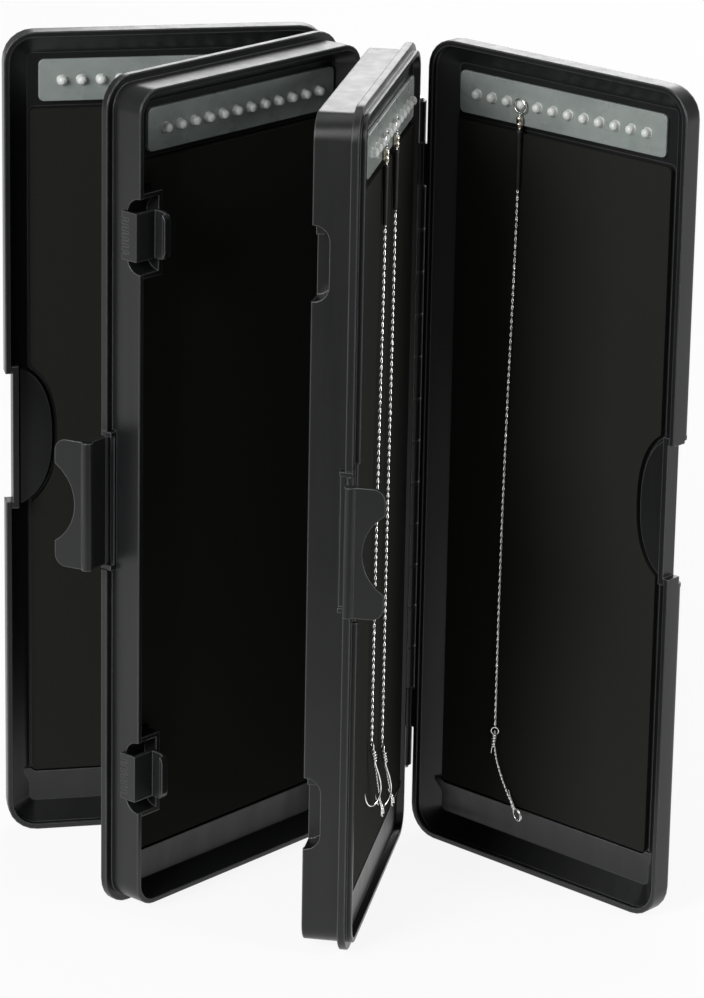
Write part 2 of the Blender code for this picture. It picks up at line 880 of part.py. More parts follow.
def make_rig(rig, peg, depth, foot, lean, tail, hooked):
    """One rig, as pieces that hang in line at one depth in front of the foam."""
    peg_u, peg_z = peg_place(peg)
    ring_z = peg_z + peg_radius + hang_gap - ring_radius
    middle_radius = ring_radius + ring_wire
    ring = circle(peg_u, ring_z, middle_radius, ring_steps)
    swivel = flat_tube(rig + "_swivel", ring, depth, [ring_wire] * ring_steps, wire_sides, joined=True)
    neck_high = ring_z - ring_radius - ring_wire
    barrel_high = neck_high - neck_length
    barrel_low = barrel_high - swivel_length
    barrel = (
        (neck_high, ring_wire),
        (barrel_high, ring_wire),
        (barrel_high - ring_wire, swivel_radius),
        (barrel_high - swivel_length / 4, swivel_radius),
        (barrel_high - swivel_length / 3, swivel_waist),
        (barrel_low + swivel_length / 3, swivel_waist),
        (barrel_low + swivel_length / 4, swivel_radius),
        (barrel_low + ring_wire, swivel_radius),
        (barrel_low, ring_wire),
    )
    add(swivel, lathe("barrel", peg_u, depth, barrel, swivel_sides))

    sleeve_high = barrel_low - sleeve_gap
    sleeve_low = sleeve_high - sleeve_length
    tube = ((sleeve_low, sleeve_radius), (sleeve_high, sleeve_radius))
    sleeve = lathe(rig + "_sleeve", peg_u, depth, tube, swivel_sides)
    bore = ((sleeve_low - cut_past, sleeve_bore), (sleeve_high + cut_past, sleeve_bore))
    cut(sleeve, lathe("sleeve bore", peg_u, depth, bore, swivel_sides))

    wire_high = barrel_low - hang_gap
    drop = wire_high - foot
    route = [(peg_u + lean * across, wire_high - drop * down) for down, across in wire_shares]
    wire = flat_tube(rig + "_wire", route, depth, [wire_radius] * len(route), wire_sides)

    knot_u, wire_low = route[-1]
    knot_high = wire_low - hang_gap
    knot_low = knot_high - knot_length
    rib = knot_length / (2 * knot_ribs)
    radii = (knot_waist, knot_radius)
    ribs = [(knot_low + rib * step, radii[step % 2]) for step in range(2 * knot_ribs + 1)]
    knot = lathe(rig + "_knot", knot_u, depth, ribs, swivel_sides)

    away = -1 if tail[0] < 0 else 1
    tail_high = knot_low - hang_gap
    start_u = knot_u + away * tail_offset
    tail_line = []
    for step in range(tail_steps + 1):
        share = step / tail_steps
        tail_line.append((start_u + tail[0] * share**tail_bow, tail_high - tail[1] * share))
    heading = atan2(tail_line[-1][1] - tail_line[-2][1], tail_line[-1][0] - tail_line[-2][0])
    centre_u = tail_line[-1][0] - away * tail_loop * sin(heading)
    centre_z = tail_line[-1][1] + away * tail_loop * cos(heading)
    for step in range(1, 2 * tail_steps + 1):
        turn = heading - away * pi / 2 + away * radians(tail_loop_angle) * step / (2 * tail_steps)
        tail_line.append((centre_u + tail_loop * cos(turn), centre_z + tail_loop * sin(turn)))
    made = [
        swivel,
        sleeve,
        wire,
        knot,
        flat_tube(rig + "_tail", tail_line, depth, [tail_radius] * len(tail_line), wire_sides),
    ]
    if hooked:
        shank_u = knot_u - away * tail_offset
        shank_low = tail_high - hook_shank
        hook_line = [(shank_u, tail_high), (shank_u, shank_low)]
        for step in range(1, hook_steps + 1):
            turn = pi * step / hook_steps
            bend_u = shank_u - away * hook_bend * (1 - cos(turn))
            hook_line.append((bend_u, shank_low - hook_bend * sin(turn)))
        hook_line.append((shank_u - away * 2 * hook_bend, shank_low + hook_point))
        radii = [hook_wire] * (len(hook_line) - 1) + [hook_tip]
        made.append(flat_tube(rig + "_hook", hook_line, depth, radii, wire_sides))
    return made


def place(made, axis, angle, side):
    """Turns and moves a leaf's piece to where the leaf stands, mirrored where side is negative."""
    along = (-cos(radians(angle)), -sin(radians(angle)))
    into = (side * sin(radians(angle)), -side * cos(radians(angle)))
    for vertex in made.data.vertices:
        u, v = vertex.co.x, vertex.co.y
        vertex.co.x = axis[0] + u * along[0] + v * into[0]
        vertex.co.y = axis[1] + u * along[1] + v * into[1]
    if side < 0:
        made.data.flip_normals()
    made.data.update()
    return made


def hinge_point(angle, side):
    """The outer hinge axis of a tray that stands at an angle."""
    return (side * tray_depth * sin(radians(angle)), -side * tray_depth * cos(radians(angle)))


for old in list(bpy.data.objects):
    bpy.data.objects.remove(old)

middle_axis = (0.0, 0.0)
cover_a_axis = hinge_point(tray_a_angle, -1)
cover_b_axis = hinge_point(tray_b_angle, 1)

inner_back = inner_floor - strip_gap
outer_back = outer_floor + strip_gap
cover_back = cover_floor - strip_gap

pieces = []
for letter, angle, side, first_knuckle, keepers, opening in (
    ("a", tray_a_angle, -1, 1, False, clip_a_open_angle),
    ("b", tray_b_angle, 1, 0, True, clip_b_open_angle),
):
    leaf = "tray_" + letter
    made = [
        make_tray(leaf + "_shell", first_knuckle, keepers),
        make_inner_foam(leaf + "_inner_foam"),
        make_foam(leaf + "_outer_foam", outer_floor_inset, outer_foam_back + piece_gap, outer_foam_front),
        make_strip(leaf + "_inner_strip", inner_strip_front, inner_back, inner_peg_height),
        make_strip(leaf + "_outer_strip", outer_strip_front, outer_back, outer_peg_height),
        make_clip_base("clip_" + letter + "_base"),
        make_clip_pin("clip_" + letter + "_pin"),
        open_clip(make_clip_flap("clip_" + letter + "_flap"), opening),
    ]
    if letter == "a":
        made += [make_slider("slider_low", latch_centres[0]), make_slider("slider_high", latch_centres[1])]
    else:
        rig_depth = outer_strip_front + ring_stand
        made += make_rig("rig_c", rig_c_peg, rig_depth, rig_c_foot, rig_c_lean, rig_c_tail, True)
        made += make_rig("rig_d", rig_d_peg, rig_depth, rig_d_foot, rig_d_lean, rig_d_tail, True)
    pieces += [place(piece, middle_axis, angle, side) for piece in made]

for letter, axis, angle, side in (
    ("a", cover_a_axis, cover_a_angle, -1),
    ("b", cover_b_axis, cover_b_angle, 1),
):
    leaf = "cover_" + letter
    made = [
        make_cover(leaf + "_shell"),
        make_cover_foam(leaf + "_foam"),
        make_strip(leaf + "_strip", cover_strip_front, cover_back, outer_peg_height),
    ]
    if letter == "b":
        rig_depth = cover_strip_front - ring_stand - 2 * hang_gap
        made += make_rig("rig_b", rig_b_peg, rig_depth, rig_b_foot, rig_b_lean, rig_b_tail, False)
    pieces += [place(piece, axis, angle, side) for piece in made]

for letter, axis in (("middle", middle_axis), ("a", cover_a_axis), ("b", cover_b_axis)):
    pieces.append(place(make_hinge_pin("hinge_pin_" + letter), axis, tray_b_angle, 1))

# Origin at the middle of the standing box's footprint
spread = [vertex.co for piece in pieces for vertex in piece.data.vertices]
shift_x = -(min(point.x for point in spread) + max(point.x for point in spread)) / 2
shift_y = -(min(point.y for point in spread) + max(point.y for point in spread)) / 2
for piece in pieces:
    for vertex in piece.data.vertices:
        vertex.co.x += shift_x
        vertex.co.y += shift_y
    piece.data.update()
    outward(piece)

print("shift", shift_x, shift_y)
for letter, angle, side in (("a", tray_a_angle, -1), ("b", tray_b_angle, 1)):
    along = (-cos(radians(angle)), -sin(radians(angle)))
    into = (side * sin(radians(angle)), -side * cos(radians(angle)))
    print(
        "clip",
        letter,
        shift_x + clip_axis_u * along[0] + clip_axis_depth * into[0],
        shift_y + clip_axis_u * along[1] + clip_axis_depth * into[1],
    )
print("cover a axis", cover_a_axis[0] + shift_x, cover_a_axis[1] + shift_y)
print("cover b axis", cover_b_axis[0] + shift_x, cover_b_axis[1] + shift_y)
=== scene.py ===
"""The looks of a fishing rig box that stands open like a book: charcoal plastic, foam and peg strips."""

import json
from math import cos, pi, radians, sin

import bmesh
import bpy
from mathutils import Matrix, Vector


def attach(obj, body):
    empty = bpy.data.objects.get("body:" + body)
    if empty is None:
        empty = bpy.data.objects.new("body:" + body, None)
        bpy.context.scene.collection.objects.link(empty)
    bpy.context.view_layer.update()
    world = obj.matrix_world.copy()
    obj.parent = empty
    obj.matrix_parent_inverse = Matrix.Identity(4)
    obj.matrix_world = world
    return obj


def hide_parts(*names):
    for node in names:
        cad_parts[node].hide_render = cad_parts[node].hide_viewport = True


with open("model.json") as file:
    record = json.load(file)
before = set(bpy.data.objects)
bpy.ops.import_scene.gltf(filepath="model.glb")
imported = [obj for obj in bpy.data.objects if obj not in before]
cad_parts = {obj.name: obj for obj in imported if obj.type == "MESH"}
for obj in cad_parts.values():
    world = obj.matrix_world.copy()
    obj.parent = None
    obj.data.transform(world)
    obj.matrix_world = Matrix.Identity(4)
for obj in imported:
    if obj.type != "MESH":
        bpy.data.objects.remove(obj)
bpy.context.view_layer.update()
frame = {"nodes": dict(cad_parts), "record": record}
nodes = frame["nodes"]
mm = 0.001

# Camera
# A long lens 1.7 m before the box looks 17 degrees down into its open leaves. A small shift brings the box to
# the middle of the tall picture, and a slight roll keeps its left edge upright.
camera_place = Vector((-19.005, -1695.54, 746.497)) * mm
camera_turn = 0.01463
camera_pitch = 0.29398
camera_roll = 0.01858
camera_lens = 156.5
camera_shift = -0.14
camera_aside = -0.001
camera_reach = 20.0

ahead = Vector(
    (sin(camera_turn) * cos(camera_pitch), cos(camera_turn) * cos(camera_pitch), -sin(camera_pitch))
)
level = Vector((cos(camera_turn), -sin(camera_turn), 0))
above = level.cross(ahead)
right = level * cos(camera_roll) + above * sin(camera_roll)
up = above * cos(camera_roll) - level * sin(camera_roll)
camera = bpy.data.objects.new("camera", bpy.data.cameras.new("camera"))
camera.data.lens = camera_lens
camera.data.shift_x = camera_aside
camera.data.shift_y = camera_shift
camera.data.clip_end = camera_reach
camera.matrix_world = Matrix.Translation(camera_place) @ Matrix((right, up, -ahead)).transposed().to_4x4()
bpy.context.scene.collection.objects.link(camera)
bpy.context.scene.camera = camera
bpy.context.scene.view_settings.view_transform = "Standard"

# Wire rigs on their pegs
# Each rig hangs on a peg by the ring of a brass swivel. Below it come a rubber sleeve, shrunk on, a leader
# twisted from two strands of stainless wire, a wound knot and a short tail that ends in a loop. Two of the
# three carry a hook as well.


class Number:
    """A shader socket that takes part in sums, so that a pattern is written as one line of maths."""

    def __init__(self, tree, socket):
        self.tree = tree
        self.socket = socket

    def sum(self, operation, first, second=0.0):
        node = self.tree.nodes.new("ShaderNodeMath")
        node.operation = operation
        for place, value in enumerate((first, second)):
            if isinstance(value, Number):
                self.tree.links.new(value.socket, node.inputs[place])
            else:
                node.inputs[place].default_value = value
        return Number(self.tree, node.outputs[0])

    def __add__(self, other):
        return self.sum("ADD", self, other)

    def __radd__(self, other):
        return self.sum("ADD", other, self)

    def __sub__(self, other):
        return self.sum("SUBTRACT", self, other)

    def __rsub__(self, other):
        return self.sum("SUBTRACT", other, self)

    def __mul__(self, other):
        return self.sum("MULTIPLY", self, other)

    def __rmul__(self, other):
        return self.sum("MULTIPLY", other, self)

    def bounded(self):
        """The same value, held between 0 and 1."""
        node = self.tree.nodes.new("ShaderNodeClamp")
        self.tree.links.new(self.socket, node.inputs[0])
        return Number(self.tree, node.outputs[0])


class Finish:
    """One material and the nodes that make it."""

    # Where a Mix node for colours has its two colours and its result
    mix_colours = (6, 7)
    mix_result = 2
    edge_samples = 6

    def __init__(self, name):
        self.material = bpy.data.materials.new(name)
        self.material.use_nodes = True
        self.tree = self.material.node_tree
        self.tree.nodes.clear()

    def node(self, kind, output=0, settings=None, **sockets):
        """A node with its settings, and a value or a link for each socket named."""
        made = self.tree.nodes.new(kind)
        for name, value in (settings or {}).items():
            setattr(made, name, value)
        for name, value in sockets.items():
            socket = made.inputs[name.replace("_", " ")]
            if isinstance(value, Number):
                self.tree.links.new(value.socket, socket)
            else:
                socket.default_value = value
        return Number(self.tree, made.outputs[output])

    def noise(self, size, detail=3.0, roughness=0.5, stretch=(1, 1, 1)):
        """Noise with features of one size, drawn out along an axis where its stretch is under 1."""
        place = self.node("ShaderNodeTexCoord", output="Object")
        spot = self.node("ShaderNodeMapping", Vector=place, Scale=stretch)
        return self.node(
            "ShaderNodeTexNoise", Vector=spot, Scale=1 / size, Detail=detail, Roughness=roughness
        )

    def blend(self, share, first, second):
        """A colour between two, each a link or three numbers."""
        made = self.tree.nodes.new("ShaderNodeMix")
        made.data_type = "RGBA"
        self.tree.links.new(share.socket, made.inputs[0])
        for place, colour in zip(self.mix_colours, (first, second)):
            if isinstance(colour, Number):
                self.tree.links.new(colour.socket, made.inputs[place])
            else:
                made.inputs[place].default_value = (*colour, 1)
        return Number(self.tree, made.outputs[self.mix_result])

    def soft_edges(self, radius):
        """Normals that round every edge a little."""
        return self.node("ShaderNodeBevel", settings={"samples": self.edge_samples}, Radius=radius)

    def edge_share(self, soft, gain):
        """How far the softened edges turn from the flat faces, from 0 on the flat to 1 on an edge."""
        flat = self.node("ShaderNodeNewGeometry", output="Normal")
        turned = self.node("ShaderNodeVectorMath", output="Value", settings={"operation": "DOT_PRODUCT"})
        for place, normal in enumerate((soft, flat)):
            self.tree.links.new(normal.socket, turned.socket.node.inputs[place])
        return ((1 - turned) * gain).bounded()

    def bump(self, height, strength, depth, **sockets):
        """Fine relief, as deep as the height says."""
        return self.node("ShaderNodeBump", Strength=strength, Distance=depth, Height=height, **sockets)

    def close(self, **sockets):
        """Ends the material in its surface shader."""
        shader = self.node("ShaderNodeBsdfPrincipled", **sockets)
        output = self.tree.nodes.new("ShaderNodeOutputMaterial")
        self.tree.links.new(shader.socket, output.inputs["Surface"])
        return self.material


rig_steel_colour = (0.96, 0.955, 0.94)
rig_steel_rough = 0.13
barrel_colour = (0.9, 0.83, 0.7)
barrel_rough = 0.14
steel_patch = 1.6 * mm
steel_grain = 0.15 * mm
steel_grain_depth = 0.02 * mm
dull_share = 0.6
rubber_dark = (0.006, 0.006, 0.0062)
rubber_light = (0.013, 0.013, 0.0128)
rubber_rough = 0.42
rubber_cloud = 3 * mm
rubber_grain = 0.25 * mm
rubber_grain_depth = 0.04 * mm


def drawn_steel(name, colour, rough):
    """Bright drawn wire with fine dull patches."""
    steel = Finish(name)
    patch = steel.noise(steel_patch, detail=2.0)
    drawn = steel.noise(steel_grain, detail=2.0, stretch=(1, 1, 0.2))
    dull = tuple(dull_share * part for part in colour)
    shade = steel.blend((patch * 2.4 - 1.0).bounded(), colour, dull)
    bump = steel.bump(drawn, 0.15, steel_grain_depth)
    roughness = (rough + (patch - 0.5) * 0.18).bounded()
    return steel.close(Base_Color=shade, Metallic=1.0, Roughness=roughness, Normal=bump)


def shrunk_rubber():
    """Matt black rubber, a little cloudy."""
    rubber = Finish("sleeve_rubber")
    cloud = rubber.noise(rubber_cloud, detail=3.0)
    grain = rubber.noise(rubber_grain, detail=2.0)
    shade = rubber.blend((cloud * 1.6 - 0.3).bounded(), rubber_dark, rubber_light)
    bump = rubber.bump(grain, 0.25, rubber_grain_depth)
    roughness = (rubber_rough + (cloud - 0.5) * 0.2).bounded()
    return rubber.close(Base_Color=shade, Roughness=roughness, Normal=bump)


rig_steel = drawn_steel("rig_steel", rig_steel_colour, rig_steel_rough)
barrel_metal = drawn_steel("barrel_metal", barrel_colour, barrel_rough)
sleeve_rubber = shrunk_rubber()


class Leaf:
    """The frame of one leaf: u from its hinge axis to its free edge, v into the leaf, z up."""

    def __init__(self, joint, angle, side):
        joints = frame["record"]["behaviour"]["joints"]
        places = {entry["name"]: entry["pos_m"] for entry in joints if "pos_m" in entry}
        turn = radians(angle)
        self.hinge = Vector(places[joint])
        self.hinge.z = 0
        self.along = Vector((-cos(turn), -sin(turn), 0))
        self.into = Vector((side * sin(turn), -side * cos(turn), 0))

    def at(self, u, v, z):
        return self.hinge + self.along * u + self.into * v + Vector((0, 0, z))


tray_a_angle = 47.6
tray_b_angle = 79.3
cover_a_angle = 10.8
cover_b_angle = 136.6
tray_a = Leaf("tray_hinge", tray_a_angle, -1)
tray_b = Leaf("tray_hinge", tray_b_angle, 1)
cover_a = Leaf("cover_a_hinge", cover_a_angle, -1)
cover_b = Leaf("cover_b_hinge", cover_b_angle, 1)


def grow(group, kind, settings=None, **sockets):
    """One geometry node with its settings, values and links."""
    made = group.nodes.new(kind)
    for name, value in (settings or {}).items():
        setattr(made, name, value)
    for name, value in sockets.items():
        socket = made.inputs[name.replace("_", " ")]
        if isinstance(value, bpy.types.NodeSocket):
            group.links.new(value, socket)
        else:
            socket.default_value = value
    return made


def new_tree(name, **inputs):
    """An empty tree with named inputs, and the node that hands them in."""
    group = bpy.data.node_groups.new(name, "GeometryNodeTree")
    for label, kind in inputs.items():
        group.interface.new_socket(label.replace("_", " "), in_out="INPUT", socket_type="NodeSocket" + kind)
    group.interface.new_socket("Geometry", in_out="OUTPUT", socket_type="NodeSocketGeometry")
    return group, group.nodes.new("NodeGroupInput").outputs


def close_tree(group, geometry):
    """Ends a tree in whole geometry."""
    whole = grow(group, "GeometryNodeRealizeInstances", Geometry=geometry)
    output = group.nodes.new("NodeGroupOutput")
    group.links.new(whole.outputs["Geometry"], output.inputs["Geometry"])


def plain_mesh(name, source, group, **values):
    """Runs a tree on a mesh once and keeps the result as a plain mesh piece."""
    piece = bpy.data.objects.new(name, source)
    bpy.context.scene.collection.objects.link(piece)
    modifier = piece.modifiers.new("grow", "NODES")
    modifier.node_group = group
    for item in group.interface.items_tree:
        label = item.name.replace(" ", "_")
        if item.in_out == "INPUT" and label in values:
            modifier[item.identifier] = values[label]
    shaped = bpy.data.meshes.new_from_object(piece.evaluated_get(bpy.context.evaluated_depsgraph_get()))
    piece.modifiers.clear()
    piece.data = shaped
    return piece


def wire_tree():
    """A round wire along each line of the incoming mesh, as thick as its points say."""
    group, given = new_tree("wire_on_path", Geometry="Geometry", Sides="Int", Metal="Material")
    line = grow(group, "GeometryNodeMeshToCurve", Mesh=given["Geometry"])
    thick = grow(group, "GeometryNodeInputNamedAttribute", {"data_type": "FLOAT"}, Name="thick")
    round_section = grow(group, "GeometryNodeCurvePrimitiveCircle", Resolution=given["Sides"], Radius=1.0)
    wire = grow(
        group,
        "GeometryNodeCurveToMesh",
        Curve=line.outputs["Curve"],
        Profile_Curve=round_section.outputs["Curve"],
        Scale=thick.outputs["Attribute"],
        Fill_Caps=True,
    )
    smooth = grow(group, "GeometryNodeSetShadeSmooth", Geometry=wire.outputs["Mesh"])
    metal = grow(
        group, "GeometryNodeSetMaterial", Geometry=smooth.outputs["Geometry"], Material=given["Metal"]
    )
    close_tree(group, metal.outputs["Geometry"])
    return group


wire_on_path = wire_tree()
line_steps = 12
ring_points = 40
weld_reach = 0.0005 * mm


def wire_piece(name, lines, metal, sides=8):
    """Wires along lines, each a list of points, its radii and whether it closes on itself."""
    points, thick, edges = [], [], []
    for path, radii, closed in lines:
        start = len(points)
        points += path
        thick += radii
        edges += [(start + step, start + step + 1) for step in range(len(path) - 1)]
        edges += [(start + len(path) - 1, start)] if closed else []
    mesh = bpy.data.meshes.new(name)
    mesh.from_pydata(points, edges, [])
    mesh.attributes.new("thick", "FLOAT", "POINT").data.foreach_set("value", thick)
    return plain_mesh(name, mesh, wire_on_path, Sides=sides, Metal=metal)


def even_line(points, spacing):
    """A smooth line through points, at even steps."""
    ends = [points[0], *points, points[-1]]
    fine = []
    for before, start, end, after in zip(ends, ends[1:], ends[2:], ends[3:]):
        for step in range(line_steps):
            t = step / line_steps
            bend = (2 * before - 5 * start + 4 * end - after) * t**2
            bend += (3 * start - before - 3 * end + after) * t**3
            fine.append((2 * start + (end - before) * t + bend) / 2)
    fine.append(points[-1])
    lengths = [0.0]
    for start, end in zip(fine, fine[1:]):
        lengths.append(lengths[-1] + (end - start).length)
    count = max(2, round(lengths[-1] / spacing))
    even, place = [], 0
    for step in range(count + 1):
        wanted = lengths[-1] * step / count
        while place < len(lengths) - 2 and lengths[place + 1] < wanted:
            place += 1
        share = (wanted - lengths[place]) / (lengths[place + 1] - lengths[place])
        even.append(fine[place].lerp(fine[place + 1], share))
    return even


def twist(leaf, line, offset, pitch, strands=2, taper=1.0):
    """Lines that wind round an even line given in the leaf's frame, ending at taper times the offset."""
    wound = []
    for strand in range(strands):
        path, run = [], 0.0
        for place, point in enumerate(line):
            before = line[max(place - 1, 0)]
            tangent = (line[min(place + 1, len(line) - 1)] - before).normalized()
            across = tangent.cross(Vector((0, 1, 0))).normalized()
            if place:
                run += (point - before).length
            turn = 2 * pi * (run / pitch + strand / strands)
            out = offset * (1 + (taper - 1) * place / (len(line) - 1))
            path.append(leaf.at(*(point + (across * cos(turn) + tangent.cross(across) * sin(turn)) * out)))
        wound.append(path)
    return wound


def alike(paths, radius):
    """Open lines of one radius."""
    return [(path, [radius] * len(path), False) for path in paths]


def ring_line(leaf, middle, reach, radius, tilt=0.0):
    """A closed ring round a middle, its plane turned from the leaf's plane by tilt."""
    path = []
    for step in range(ring_points):
        turn = 2 * pi * step / ring_points
        out = reach * sin(turn)
        path.append(leaf.at(*(middle + Vector((out * cos(tilt), out * sin(tilt), reach * cos(turn))))))
    return (path, [radius] * ring_points, True)


def lathe(name, leaf, u, depth, profile, material, sides=24):
    """A body turned about an upright axis from a closed profile of (radius, height)."""
    points, faces = [], []
    count = len(profile)
    for side in range(sides):
        turn = 2 * pi * side / sides
        for radius, z in profile:
            points.append(leaf.at(u + radius * cos(turn), depth + radius * sin(turn), z))
    for side in range(sides):
        here, beyond = side * count, (side + 1) % sides * count
        for step in range(count):
            after = (step + 1) % count
            faces.append((here + step, here + after, beyond + after, beyond + step))
    mesh = bpy.data.meshes.new(name)
    mesh.from_pydata(points, [], faces)
    work = bmesh.new()
    work.from_mesh(mesh)
    bmesh.ops.remove_doubles(work, verts=work.verts, dist=weld_reach)
    bmesh.ops.recalc_face_normals(work, faces=work.faces)
    work.to_mesh(mesh)
    work.free()
    mesh.shade_smooth()
    mesh.materials.append(material)
    piece = bpy.data.objects.new(name, mesh)
    bpy.context.scene.collection.objects.link(piece)
    return piece


peg_pitch = 8.2 * mm
first_peg = 26.5 * mm
peg_height = 332.85 * mm
peg_radius = 2.0 * mm
hang_gap = 0.15 * mm
ring_radius = 2.5 * mm
ring_wire = 0.4 * mm
ring_sides = 10
neck_length = 1.4 * mm
neck_pitch = 2.6 * mm
neck_offset_share = 0.75
neck_wire_share = 0.6
neck_spacing = 0.15 * mm
barrel_radius = 1.42 * mm
barrel_length = 5.6 * mm
barrel_steps = 24
barrel_square = 8
barrel_mouth_share = 0.8
waist_depth = 0.12
waist_half = 0.14


def make_swivel(rig, leaf, body, u, depth, ring_z):
    """Ring, crossed neck wires and a waisted barrel. Gives the height of the barrel's foot."""
    middle = ring_radius + ring_wire
    lines = [ring_line(leaf, Vector((u, depth, ring_z)), middle, ring_wire)]
    neck_high = ring_z - ring_radius - ring_wire / 2
    barrel_high = ring_z - middle - neck_length
    neck_low = barrel_high - neck_length / 2
    neck = even_line([Vector((u, depth, neck_high)), Vector((u, depth, neck_low))], neck_spacing)
    crossed = twist(leaf, neck, ring_wire * neck_offset_share, neck_pitch)
    lines += alike(crossed, ring_wire * neck_wire_share)
    eye = wire_piece(rig + "_swivel_ring", lines, rig_steel, ring_sides)
    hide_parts(rig + "_swivel")
    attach(eye, body)
    barrel_low = barrel_high - barrel_length
    middle_z = (barrel_high + barrel_low) / 2
    profile = [(0, barrel_high)]
    for step in range(barrel_steps + 1):
        share = 2 * step / barrel_steps - 1
        swell = (1 - abs(share) ** barrel_square) ** 0.5
        waist = 1 - waist_depth * max(0.0, 1 - (share / waist_half) ** 2)
        radius = max(barrel_radius * swell * waist, ring_wire * barrel_mouth_share)
        profile.append((radius, middle_z - share * barrel_length / 2))
    profile.append((0, barrel_low))
    barrel = lathe(rig + "_swivel_barrel", leaf, u, depth, profile, barrel_metal)
    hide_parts(rig + "_swivel")
    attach(barrel, body)
    return barrel_low


sleeve_gap = 0.4 * mm
sleeve_length = 25.0 * mm
sleeve_radius = 1.38 * mm
sleeve_foot_radius = 1.05 * mm
sleeve_bore = 0.7 * mm
sleeve_steps = 30
sleeve_shrink_power = 0.6
sleeve_shrink_half = 0.66
sleeve_rim_rounding = (0.14 * mm, 0.03 * mm)
sleeve_rim_inset = 0.1 * mm


def make_sleeve(rig, leaf, body, u, depth, high):
    """A rubber tube shrunk on: wide over the barrel's eye, narrow down the wire."""
    low = high - sleeve_length
    outside = []
    for step in range(sleeve_steps + 1):
        share = step / sleeve_steps
        if share < 0.5:
            narrow = share**sleeve_shrink_power
        else:
            narrow = sleeve_shrink_half + (1 - sleeve_shrink_half) * (share * 2 - 1)
        radius = sleeve_radius + (sleeve_foot_radius - sleeve_radius) * narrow
        rim = min(step, sleeve_steps - step)
        if rim < len(sleeve_rim_rounding):
            radius -= sleeve_rim_rounding[rim]
        outside.append((radius, high - sleeve_length * share))
    inside = [(sleeve_bore, low + sleeve_rim_inset), (sleeve_bore, high - sleeve_rim_inset)]
    sleeve = lathe(rig + "_rubber_sleeve", leaf, u, depth, outside + inside, sleeve_rubber)
    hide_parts(rig + "_sleeve")
    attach(sleeve, body)
    return sleeve


knot_length = 9.0 * mm
knot_ring = 1.6 * mm
knot_ring_tilt = 0.5
knot_radius = 1.22 * mm
knot_foot_radius = 0.85 * mm
knot_wire = 0.4 * mm
knot_pitch = 1.25 * mm
knot_turns = 4.2
core_pitch = 3 * mm
core_offset_share = 0.8
core_wire_share = 0.9
core_spacing = 0.3 * mm
wrap_spacing = 0.08 * mm
tail_strand = 0.25 * mm
cut_ends = ((-1, 4.2 * mm), (1, 2.6 * mm))
cut_aside_mm = 0.6
cut_rise_mm = 0.8
cut_lean = 0.7 * mm


def make_knot(rig, leaf, body, high, low):
    """A small ring above a few wraps round the leader's doubled end, with two cut ends."""
    down = (low - high).normalized()
    eye = high + down * (knot_ring + knot_wire)
    top = high + down * (2 * knot_ring + knot_wire)
    lines = [ring_line(leaf, eye, knot_ring, knot_wire, knot_ring_tilt)]
    core = twist(leaf, even_line([eye, low], core_spacing), knot_wire * core_offset_share, core_pitch)
    lines += alike(core, knot_wire * core_wire_share)
    wrapped = even_line([top, top + down * knot_turns * knot_pitch], wrap_spacing)
    wraps = twist(leaf, wrapped, knot_radius, knot_pitch, 1, knot_foot_radius / knot_radius)
    lines += alike(wraps, knot_wire)
    for side, length in cut_ends:
        root = low + Vector((side * cut_aside_mm, 0, cut_rise_mm)) * mm
        tip = root + Vector((side * cut_lean, 0, -length))
        lines += alike([[leaf.at(*root), leaf.at(*tip)]], tail_strand)
    knot = wire_piece(rig + "_wound_knot", lines, rig_steel)
    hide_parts(rig + "_knot")
    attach(knot, body)
    return knot


tail_offset = 0.8 * mm
tail_pitch = 3.6 * mm
tail_spacing = 0.3 * mm
tail_steps = 7
tail_bow = 1.5
bound_length_mm = 2.2
bound_radius = 0.72 * mm
bound_pitch = 0.78 * mm
bound_wire_share = 1.3
stub_length = 8.5 * mm
stub_bend = 0.6
stub_reaches_mm = (0.5, 0.75, 1.5)
stub_wire_share = 1.2
stub_spacing = 0.5 * mm
loop_wide = 1.75 * mm
loop_high = 2.7 * mm
loop_lift = 0.28 * mm
loop_steps = 28
loop_wire_share = 1.3


def make_tail(rig, leaf, body, start, run):
    """A twisted tail that ends in a loop, bound by wraps, with its doubled end beside it."""
    line = []
    for step in range(tail_steps + 1):
        share = step / tail_steps
        line.append(start + Vector((run[0] * share**tail_bow, run[1] * share, -run[2] * share)))
    end = line[-1]
    heading = (end - line[-2]).normalized()
    across = heading.cross(Vector((0, 1, 0))).normalized()
    lines = alike(twist(leaf, even_line(line, tail_spacing), tail_strand, tail_pitch), tail_strand)
    bound = even_line([end - heading * bound_length_mm * mm, end], wrap_spacing)
    lines += alike(twist(leaf, bound, bound_radius, bound_pitch, 1), tail_strand * bound_wire_share)
    stub = [
        end + across * stub_reaches_mm[0] * mm,
        end - heading * stub_length * stub_bend + across * stub_reaches_mm[1] * mm,
        end - heading * stub_length + across * stub_reaches_mm[2] * mm,
    ]
    stub_path = [leaf.at(*point) for point in even_line(stub, stub_spacing)]
    lines += alike([stub_path], tail_strand * stub_wire_share)
    for lift in (-loop_lift, loop_lift):
        loop = []
        for step in range(loop_steps + 1):
            turn = 2 * pi * step / loop_steps
            out = heading * loop_high * (1 - cos(turn)) + across * (loop_wide + lift / 2) * sin(turn)
            loop.append(leaf.at(*(end + out + Vector((0, lift * sin(turn / 2), 0)))))
        lines += alike([loop], tail_strand * loop_wire_share)
    tail = wire_piece(rig + "_looped_tail", lines, rig_steel)
    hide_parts(rig + "_tail")
    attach(tail, body)
    return tail


hook_wire = 0.45 * mm
hook_turn = 0.545
hook_spacing = 0.35 * mm
hook_taper_steps = 12
hook_tip_share = 0.12
barb_steps_back = 7
barb_aside_mm = 0.9
barb_rise = 1.3 * mm
barb_radii = (0.2 * mm, 0.05 * mm)
